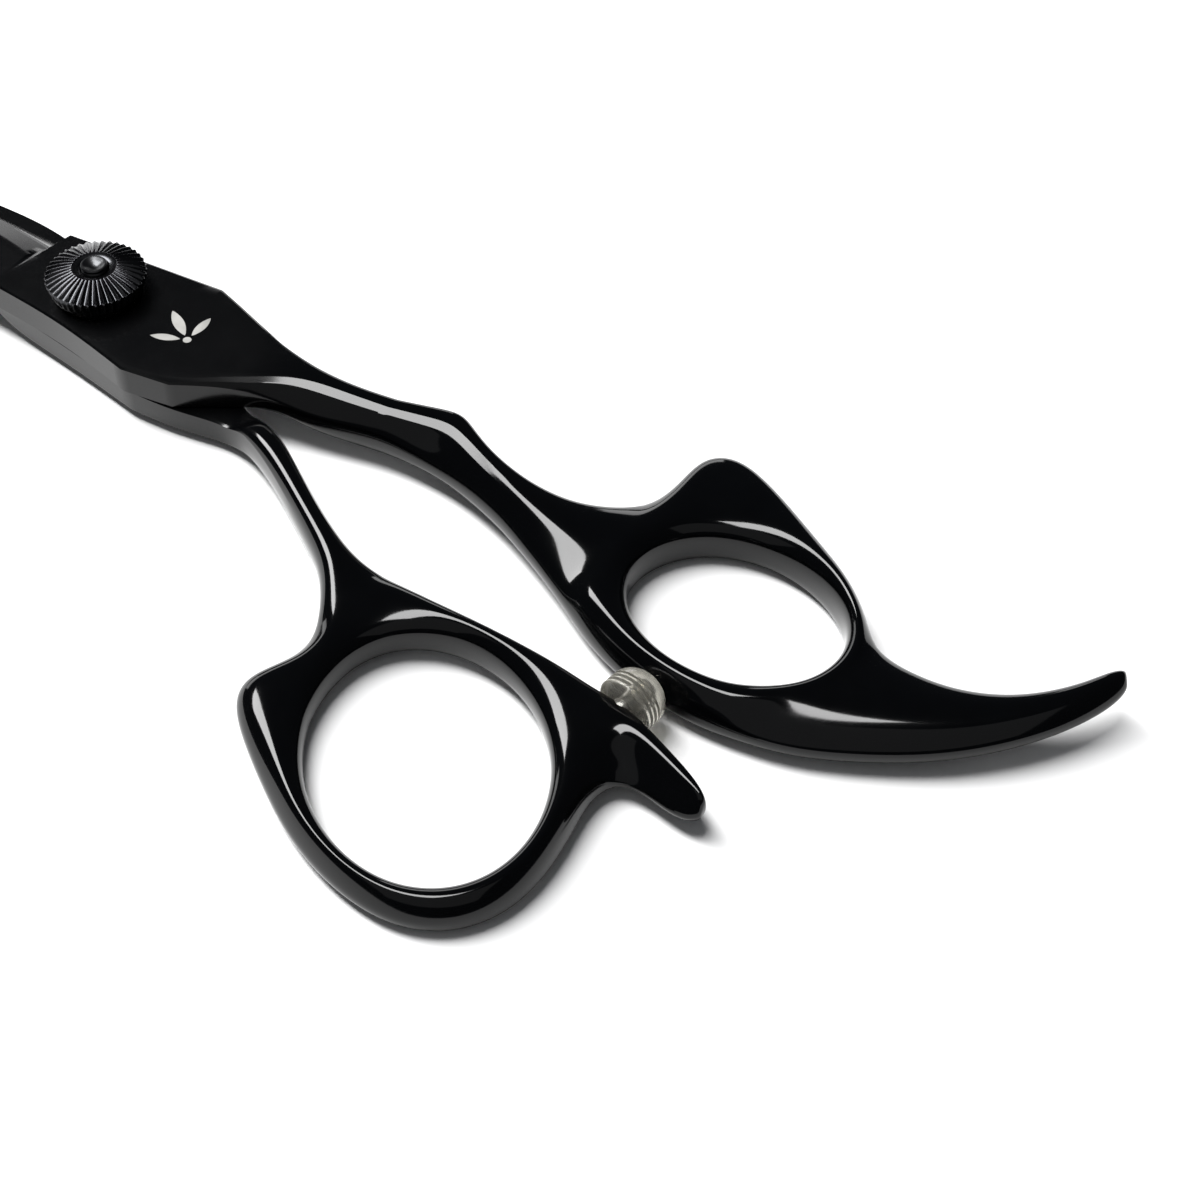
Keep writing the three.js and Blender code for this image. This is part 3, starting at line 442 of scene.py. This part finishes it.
def finger_half():
    slab = Slab()
    rows = [
        strip_row(slab, edges, FINGER_PROFILE, lambda x: along(FINGER_TOP, x),
                  lambda x: along(FINGER_BOTTOM, x), riding="bottom")
        for edges in FINGER_STRIP
    ]
    outer = ring_posts(slab, FINGER_RING, FINGER_HOLE, FINGER_JOINS,
                       lambda x, y: along(FINGER_RING_TOP, x),
                       lambda x, y: along(FINGER_RING_BOTTOM, x))
    slab.patch(rows + [[outer[i] for i in FINGER_RING_SHANK]])
    tang = [
        strip_row(slab, edges, TANG_PROFILE, lambda x: along(FINGER_RING_TOP, x),
                  lambda x: along(FINGER_RING_BOTTOM, x))
        for edges in TANG_STRIP
    ]
    slab.patch([[outer[i] for i in FINGER_RING_TANG]] + tang)
    slab.close(lambda x: 0 if x < SWELL["finger_from"] else SWELL["push"])
    sharpen(slab, rows, FINGER_STRIP, FINGER_CREASES)
    return slab.build("finger_blade_fine")


def thumb_half():
    slab = Slab()
    rows = [
        strip_row(slab, edges, THUMB_PROFILE, lambda x: along(THUMB_TOP, x),
                  lambda x: along(THUMB_BOTTOM, x), riding="top")
        for edges in THUMB_STRIP
    ]
    outer = ring_posts(slab, THUMB_RING, THUMB_HOLE, THUMB_JOINS,
                       lambda x, y: along(THUMB_RING_TOP, y),
                       lambda x, y: along(THUMB_RING_BOTTOM, y))
    slab.patch(rows + [[outer[i] for i in THUMB_RING_SHANK]])
    tail = [
        strip_row(slab, edges, TAIL_PROFILE, lambda x: along(TAIL_TOP, x),
                  lambda x: along(TAIL_BOTTOM, x))
        for edges in TAIL_STRIP
    ]
    slab.patch([[outer[i] for i in THUMB_RING_TAIL]] + tail)
    slab.close(lambda x: 0 if x < SWELL["thumb_from"] else SWELL["push"])
    sharpen(slab, rows, THUMB_STRIP, THUMB_CREASES)
    return slab.build("thumb_blade_fine")


# ------------------------------------------------------------------------ turned pieces

def turned(name, outline, segments=64, shape=None):
    """A closed body turned about Z. outline: (radius, height) points in mm, one loop.

    shape(angle, radius, height) may move a point; a radius of 0 closes on the axis."""
    mesh = bmesh.new()
    loops = []
    for k in range(segments):
        angle = 2 * math.pi * k / segments
        loop = []
        for radius, height in outline:
            if radius == 0 and loops:
                loop.append(loops[0][len(loop)])
                continue
            r, z = shape(angle, radius, height) if shape and radius else (radius, height)
            loop.append(mesh.verts.new((r * MM * math.cos(angle), r * MM * math.sin(angle), z * MM)))
        loops.append(loop)
    count = len(outline)
    for k in range(segments):
        a, b = loops[k], loops[(k + 1) % segments]
        for i in range(count):
            j = (i + 1) % count
            corners = []
            for vertex in (a[i], b[i], b[j], a[j]):
                if vertex not in corners:
                    corners.append(vertex)
            if len(corners) > 2:
                mesh.faces.new(corners)
    bmesh.ops.recalc_face_normals(mesh, faces=mesh.faces)
    data = bpy.data.meshes.new(name)
    mesh.to_mesh(data)
    mesh.free()
    return new_object(name, data)


def cut(obj, *tools):
    """Takes the tools' shapes out of the object."""
    for tool in tools:
        step = obj.modifiers.new("cut", "BOOLEAN")
        step.operation = "DIFFERENCE"
        step.solver = "EXACT"
        step.object = tool
    baked(obj)
    for tool in tools:
        bpy.data.objects.remove(tool)
    return obj


def on_bumper_axis(obj):
    """Lays a body made along Z on the bumper's axis."""
    x, y = BUMPER["base"]
    place = Matrix.Translation(Vector((x, y, BUMPER["height"])) * MM)
    turn = Matrix.Rotation(math.radians(BUMPER["heading"]), 4, "Z") @ Matrix.Rotation(math.pi / 2, 4, "Y")
    obj.data.transform(place @ turn)
    return obj


def finger_blade():
    """The finger half with the bearing's pocket and the bush's bore cut out of it."""
    floor = BALL_HEIGHT + POCKET["depth"]
    tool = turned("tool", [
        (0, 2), (POCKET["outer"], 2), (POCKET["outer"], floor), (POCKET["inner"], floor),
        (POCKET["inner"], BALL_HEIGHT), (BORE, BALL_HEIGHT), (BORE, 8), (0, 8),
    ])
    return soften(cut(finger_half(), tool))


def thumb_blade():
    """The thumb half with the pocket, the neck's hole, the stud's hole and the bumper's seat."""
    floor = BALL_HEIGHT - POCKET["depth"]
    pivot = turned("tool", [
        (0, -1), (NECK, -1), (NECK, BALL_HEIGHT), (POCKET["inner"], BALL_HEIGHT),
        (POCKET["inner"], floor), (POCKET["outer"], floor), (POCKET["outer"], 3.4), (0, 3.4),
    ])
    hole = BUMPER["stud_hole"]
    seat = BUMPER["radius"] + BUMPER["seat_play"]
    stud = on_bumper_axis(turned("tool", [
        (0, -BUMPER["stud_inside"] - 0.2), (hole, -BUMPER["stud_inside"] - 0.2), (hole, 0),
        (seat, 0), (seat, 3), (0, 3),
    ]))
    return soften(cut(thumb_half(), pivot, stud))


def pivot_screw():
    s = SCREW
    dish_floor = s["top"] - s["dish_depth"]
    thread = []
    height = s["flatted_top"] + 0.2
    while height < s["top"] - 0.5:
        thread += [(s["thread"], height), (s["thread"] - s["thread_depth"], height + s["pitch"] / 2)]
        height += s["pitch"]
    outline = [
        (0, 0), (s["head"] - 0.15, 0), (s["head"], 0.15), (s["head"], s["head_height"]),
        (s["neck"], s["head_height"]), (s["neck"], s["neck_top"]), (s["shaft"], s["neck_top"]),
        (s["shaft"], s["shaft_top"]), (s["flatted"], s["shaft_top"]), (s["flatted"], s["flatted_top"]),
        *thread, (s["thread"], s["top"] - 0.12), (s["thread"] - 0.1, s["top"]),
        (s["dish"] + 0.06, s["top"]), (s["dish"], s["top"] - 0.04), (0.3, dish_floor),
        (0, dish_floor - 0.03),
    ]
    screw = turned("pivot_screw_fine", outline, 96)
    holes = []
    for side in (-1, 1):
        hole = turned("tool", [(0, -1), (s["spanner"], -1), (s["spanner"], 0.35), (0, 0.35)], 32)
        hole.data.transform(Matrix.Translation((0, side * s["spanner_offset"] * MM, 0)))
        holes.append(hole)
    return soften(cut(screw, *holes))


def tension_dial():
    d = DIAL
    outline = [
        (d["bore"], d["cavity_top"]), (d["cavity"], d["cavity_top"]), (d["cavity"], d["bottom"]),
        (d["base"] - 0.2, d["bottom"]), (d["base"], d["bottom"] + 0.15),
    ]
    steps = 5
    for k in range(1, steps + 1):
        t = k / steps
        outline.append((mix(d["base"], d["rim"], t), mix(d["bottom"] + 0.15, d["rim_height"] - 0.4, t)))
    outline += [(d["rim"], d["rim_height"] - 0.22), (d["rim"] - 0.14, d["rim_height"] - 0.02)]
    for k in range(1, steps + 1):
        t = k / steps
        bow = 0.08 * math.sin(math.pi * t)
        outline.append((
            mix(d["rim"] - 0.14, d["flute_start"], t),
            mix(d["rim_height"] - 0.02, d["flute_top"], t) + bow,
        ))
    outline += [
        (d["flute_start"] - 0.06, d["flute_top"] - 0.08), (d["flute_start"] - 0.14, d["land"]),
        (d["bore"] + 0.1, d["land"]), (d["bore"], d["land"] - 0.08),
    ]
    on_top = d["rim_height"] - 0.1

    def flute(angle, radius, height):
        inside = radius <= d["cavity"] and height < d["cavity_top"] + 0.3
        if inside or radius < d["flute_start"] - 0.01 or height < d["bottom"] + 0.1:
            return radius, height
        groove = (0.5 - 0.5 * math.cos(angle * d["flutes"])) ** 0.75
        depth = d["depth"] * groove * (radius / d["rim"])
        if height > on_top:
            return radius, height - depth
        side = along([(d["bottom"] + 0.15, 0.35), (d["rim_height"] - 0.4, 1)], height)
        return radius - depth * side, height

    dial = turned("tension_dial_fine", outline, d["flutes"] * 12, flute)
    return soften(cut(dial, detent_pocket(-1), detent_pocket(1)), 40)


def detent_pocket(side):
    radius, top = DETENT["pocket"], DETENT["pocket_top"]
    hole = turned("tool", [(0, 7.5), (radius, 7.5), (radius, top - 0.15), (0, top)], 24)
    hole.data.transform(Matrix.Translation((side * DETENT["track"] * MM, 0, 0)))
    return hole


def bumper():
    """Clear cap: a ringed skirt and a dome, with a blind bore for its stud."""
    b = BUMPER
    radius, bore, deep = b["radius"], b["bore"], b["bore_depth"]
    dome = b["dome_share"] * radius
    skirt = b["length"] - dome
    outline = [(0, deep), (0.6 * bore, deep), (bore, deep - 0.3), (bore, 0)]
    outline += [(radius - 0.2, 0), (radius - 0.04, 0.1)]
    step = (skirt - 0.1) / b["rings"]
    groove = radius - b["groove"]
    for k in range(b["rings"]):
        low = 0.1 + k * step
        outline += [
            (radius, low + 0.15 * step), (radius, low + 0.5 * step),
            (groove, low + 0.7 * step), (groove, low + 0.85 * step),
        ]
    steps = 16
    for k in range(steps):
        angle = math.pi / 2 * k / steps
        outline.append((radius * math.cos(angle), skirt + dome * math.sin(angle)))
    outline.append((0, skirt + dome))
    return soften(on_bumper_axis(turned("bumper_fine", outline, 72)), 50)


def bumper_stud():
    b = BUMPER
    radius, start, end = b["stud"], -b["stud_inside"], b["bore_depth"] - 0.2
    step = end / b["ridges"]
    valley = radius - b["ridge"]
    outline = [(0, start), (radius, start), (radius, 0)]
    for k in range(b["ridges"]):
        outline += [
            (valley, (k + 0.15) * step), (valley, (k + 0.35) * step),
            (radius, (k + 0.6) * step), (radius, (k + 0.8) * step),
        ]
    outline += [(radius - 0.3, end), (0, end)]
    return soften(on_bumper_axis(turned("bumper_stud_fine", outline, 48)))


def prism(mesh, points, low, high):
    """A closed block over flat points, in mm."""
    bottom = [mesh.verts.new((p.x * MM, p.y * MM, low * MM)) for p in points]
    top = [mesh.verts.new((p.x * MM, p.y * MM, high * MM)) for p in points]
    mesh.faces.new(bottom)
    mesh.faces.new(top)
    for i in range(len(points)):
        j = (i + 1) % len(points)
        mesh.faces.new((bottom[i], bottom[j], top[j], top[i]))


def leaf(length, width, steps=14):
    """Outline of a leaf along +X, anticlockwise."""
    out = [k / steps for k in range(steps)]
    back = [1 - t for t in out]
    points = []
    for side, shares in ((-1, out), (1, back)):
        for t in shares:
            lean = side * width / 2 * math.sin(math.pi * t) ** 0.8
            points.append(Vector((ORNAMENT["leaf_start"] + length * t, lean)))
    return points


def ornament():
    """Three small leaves and a dot, inlaid in the flat beside the dial."""
    mesh = bmesh.new()
    level = along(FINGER_TOP, ORNAMENT["at"][0])
    low, high = level - ORNAMENT["depth"], level + ORNAMENT["proud"]
    centre = Vector(ORNAMENT["at"])
    for heading, length, width in ORNAMENT["leaves"]:
        turn = Matrix.Rotation(math.radians(heading), 2)
        prism(mesh, [centre + turn @ p for p in leaf(length, width)], low, high)
    angles = [math.pi * k / 8 for k in range(16)]
    circle = [Vector((math.cos(a), math.sin(a))) for a in angles]
    prism(mesh, [centre + ORNAMENT["dot"] * p for p in circle], low, high)
    bmesh.ops.recalc_face_normals(mesh, faces=mesh.faces)
    data = bpy.data.meshes.new("ornament")
    mesh.to_mesh(data)
    mesh.free()
    return new_object("ornament", data)


# ---------------------------------------------------------------------------- materials

def material(name, colour, roughness, metallic=0.0, ior=1.5, transmission=0.0):
    """A principled material of one colour, before its wear."""
    mat = bpy.data.materials.new(name)
    mat.use_nodes = True
    tree = mat.node_tree
    shader = tree.nodes["Principled BSDF"]
    shader.inputs["Base Color"].default_value = (*colour, 1)
    shader.inputs["Metallic"].default_value = metallic
    shader.inputs["IOR"].default_value = ior
    shader.inputs["Transmission Weight"].default_value = transmission
    shader.inputs["Roughness"].default_value = roughness
    return mat, tree, shader


def node(tree, kind, **values):
    made = tree.nodes.new(kind)
    for key, value in values.items():
        if key in made.inputs:
            made.inputs[key].default_value = value
        else:
            setattr(made, key, value)
    return made


def wear(tree, shader, colour, low, high, scale, bump, tint=0.3):
    """Noise that varies the colour and the roughness, and a finer one that lifts the surface."""
    place = node(tree, "ShaderNodeTexCoord")
    noise = node(tree, "ShaderNodeTexNoise", Scale=scale, Detail=5.0, Roughness=0.6)
    tree.links.new(place.outputs["Object"], noise.inputs["Vector"])
    spread = node(tree, "ShaderNodeMapRange")
    spread.inputs["To Min"].default_value = low
    spread.inputs["To Max"].default_value = high
    tree.links.new(noise.outputs["Fac"], spread.inputs["Value"])
    tree.links.new(spread.outputs["Result"], shader.inputs["Roughness"])
    ramp = node(tree, "ShaderNodeValToRGB")
    ramp.color_ramp.elements[0].color = (*[c * (1 - tint) for c in colour], 1)
    ramp.color_ramp.elements[1].color = (*[min(1, c * (1 + tint)) for c in colour], 1)
    tree.links.new(noise.outputs["Fac"], ramp.inputs["Fac"])
    tree.links.new(ramp.outputs["Color"], shader.inputs["Base Color"])
    fine = node(tree, "ShaderNodeTexNoise", Scale=scale * 9, Detail=3.0)
    tree.links.new(place.outputs["Object"], fine.inputs["Vector"])
    lift = node(tree, "ShaderNodeBump", Strength=bump, Distance=0.00002)
    tree.links.new(fine.outputs["Fac"], lift.inputs["Height"])
    tree.links.new(lift.outputs["Normal"], shader.inputs["Normal"])
    return place, spread, lift


def worn(name, colour, low, high, scale=400, bump=0.1, **kind):
    mat, tree, shader = material(name, colour, low, **kind)
    wear(tree, shader, colour, low, high, scale, bump)
    return mat


# Extra roughness of the coating round the pivot, and where it ends along X, mm.
SATIN = {"roughness": 0.12, "full_to": 19, "gone_by": 26}


def coat():
    """Black glossy coating, satin on the flats round the pivot."""
    colour = (0.0008, 0.0009, 0.0011)
    mat, tree, shader = material("black_coat", colour, 0.08, ior=1.38)
    place, spread, _ = wear(tree, shader, colour, 0.05, 0.11, 300, 0.05)
    split = node(tree, "ShaderNodeSeparateXYZ")
    tree.links.new(place.outputs["Object"], split.inputs["Vector"])
    near_pivot = node(tree, "ShaderNodeMapRange")
    near_pivot.inputs["From Min"].default_value = SATIN["full_to"] * MM
    near_pivot.inputs["From Max"].default_value = SATIN["gone_by"] * MM
    near_pivot.inputs["To Min"].default_value = SATIN["roughness"]
    near_pivot.inputs["To Max"].default_value = 0.0
    tree.links.new(split.outputs["X"], near_pivot.inputs["Value"])
    total = node(tree, "ShaderNodeMath", operation="ADD")
    tree.links.new(spread.outputs["Result"], total.inputs[0])
    tree.links.new(near_pivot.outputs["Result"], total.inputs[1])
    tree.links.new(total.outputs["Value"], shader.inputs["Roughness"])
    return mat


def turned_metal(name, colour, roughness, rings):
    """Dark metal with fine concentric turning marks about the pivot."""
    mat, tree, shader = material(name, colour, roughness, metallic=1.0)
    place, _, lift = wear(tree, shader, colour, roughness * 0.8, roughness * 1.25, 600, 0.1)
    wave = node(
        tree, "ShaderNodeTexWave", wave_type="RINGS", rings_direction="Z", Scale=rings, Distortion=0.4,
    )
    tree.links.new(place.outputs["Object"], wave.inputs["Vector"])
    groove = node(tree, "ShaderNodeBump", Strength=0.25, Distance=0.00001)
    tree.links.new(wave.outputs["Fac"], groove.inputs["Height"])
    tree.links.new(lift.outputs["Normal"], groove.inputs["Normal"])
    tree.links.new(groove.outputs["Normal"], shader.inputs["Normal"])
    return mat


def dress(obj, mat):
    obj.data.materials.clear()
    obj.data.materials.append(mat)


# --------------------------------------------------------------------------- the object

def place_piece(obj, body, mat, replaces=None):
    dress(obj, mat)
    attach(obj, body)
    if replaces:
        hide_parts(replaces)


def build_object():
    black = coat()
    dial_black = worn("dial_coat", (0.042, 0.043, 0.046), 0.15, 0.26, 500, 0.15, metallic=1.0)
    screw_metal = turned_metal("screw_metal", (0.05, 0.051, 0.053), 0.3, 900)
    bronze = worn("bearing_bronze", (0.45, 0.29, 0.12), 0.3, 0.45, metallic=1.0)
    ball = worn("ball_steel", (0.6, 0.61, 0.63), 0.06, 0.14, metallic=1.0)
    spring = worn("spring_steel", (0.5, 0.51, 0.53), 0.25, 0.4, metallic=1.0)
    polymer = worn("washer_polymer", (0.72, 0.71, 0.66), 0.45, 0.6)
    stud = worn("stud_metal", (0.62, 0.61, 0.58), 0.18, 0.3, metallic=1.0)
    clear = worn("clear_silicone", (0.5, 0.485, 0.43), 0.12, 0.26, 300, 0.15, ior=1.41, transmission=0.8)
    mark = worn("ornament_satin", (0.4, 0.395, 0.375), 0.35, 0.5, metallic=0.6)

    place_piece(finger_blade(), "finger_side", black, "finger_blade")
    place_piece(thumb_blade(), "thumb_side", black, "thumb_blade")
    place_piece(pivot_screw(), "thumb_side", screw_metal, "pivot_screw")
    place_piece(tension_dial(), "dial", dial_black, "tension_dial")
    place_piece(bumper(), "thumb_side", clear, "bumper")
    place_piece(bumper_stud(), "thumb_side", stud, "bumper_stud")
    place_piece(ornament(), "finger_side", mark)

    carried = {
        "pivot_bush": bronze, "bearing_cage": bronze, "glide_washer": polymer,
        "wave_spring": spring, "click_plate": spring, "detent_ball_1": ball, "detent_ball_2": ball,
    }
    carried.update({f"bearing_ball_{i}": ball for i in range(1, 9)})
    for name, mat in carried.items():
        dress(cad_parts[name], mat)


# ------------------------------------------------------------------------------ studio

# Metres and degrees. Azimuth and elevation say which way it looks from.
CAMERA = {"at": (0.14617, -0.11855, 0.157), "azimuth": 35.9, "elevation": 47.0, "lens": 72}
SKY = (0.03, 0.033, 0.038)
# Lamps, seen from the camera: where (toward the far side, to the right, up, m), which way
# the long side runs, length, width, power.
LAMPS = {
    "key": ((0.24, -0.35, 0.83), (0.56, -0.55, -0.4), 1.05, 0.33, 20.0),
    "far": ((0.85, -0.3, 0.15), (0, 1, 0), 0.9, 0.2, 1.3),
    "near": ((-0.55, -0.1, 0.65), (0, 1, 0), 1.4, 0.9, 1.0),
}
OBJECT_CENTRE = Vector((0.03, -0.01, 0))
FLOOR = {"size": 1.2, "centre": (0.02, 0, 0)}


def add_floor():
    mesh = bmesh.new()
    bmesh.ops.create_grid(mesh, x_segments=24, y_segments=24, size=FLOOR["size"] / 2)
    data = bpy.data.meshes.new("floor")
    mesh.to_mesh(data)
    mesh.free()
    floor = new_object("floor", data)
    floor.location = FLOOR["centre"]
    dress(floor, floor_paper())


def floor_paper():
    colour = (0.86, 0.86, 0.86)
    mat, tree, shader = material("floor_paper", colour, 0.7)
    wear(tree, shader, colour, 0.6, 0.75, 40, 0.02, tint=0.01)
    return mat


def add_light(name, place, target, long_side, length, width, power):
    data = bpy.data.lights.new(name, "AREA")
    data.shape = "RECTANGLE"
    data.size = length
    data.size_y = width
    data.energy = power
    lamp = new_object(name, data)
    back = (place - target).normalized()
    across = (long_side - back * long_side.dot(back)).normalized()
    turn = Matrix((across, back.cross(across), back)).transposed().to_4x4()
    lamp.matrix_world = Matrix.Translation(place) @ turn


def add_lamps():
    azimuth = math.radians(CAMERA["azimuth"])
    seen = Matrix.Rotation(azimuth, 3, "Z") @ Matrix(((0, 1, 0), (1, 0, 0), (0, 0, 1)))
    for name, (place, long_side, length, width, power) in LAMPS.items():
        place = OBJECT_CENTRE + seen @ Vector(place)
        add_light(name, place, OBJECT_CENTRE, seen @ Vector(long_side), length, width, power)


def add_camera():
    data = bpy.data.cameras.new("camera")
    data.lens = CAMERA["lens"]
    data.sensor_width = 36
    camera = new_object("camera", data)
    camera.location = CAMERA["at"]
    azimuth, elevation = math.radians(CAMERA["azimuth"]), math.radians(CAMERA["elevation"])
    along_floor = math.cos(elevation)
    look = Vector((
        -math.sin(azimuth) * along_floor, math.cos(azimuth) * along_floor, -math.sin(elevation),
    ))
    camera.rotation_euler = look.to_track_quat("-Z", "Y").to_euler()
    bpy.context.scene.camera = camera


def add_world():
    world = bpy.data.worlds.new("studio")
    world.use_nodes = True
    world.node_tree.nodes["Background"].inputs["Color"].default_value = (*SKY, 1)
    bpy.context.scene.world = world


build_object()
add_floor()
add_world()
add_lamps()
add_camera()
bpy.context.scene.view_settings.view_transform = "Standard"
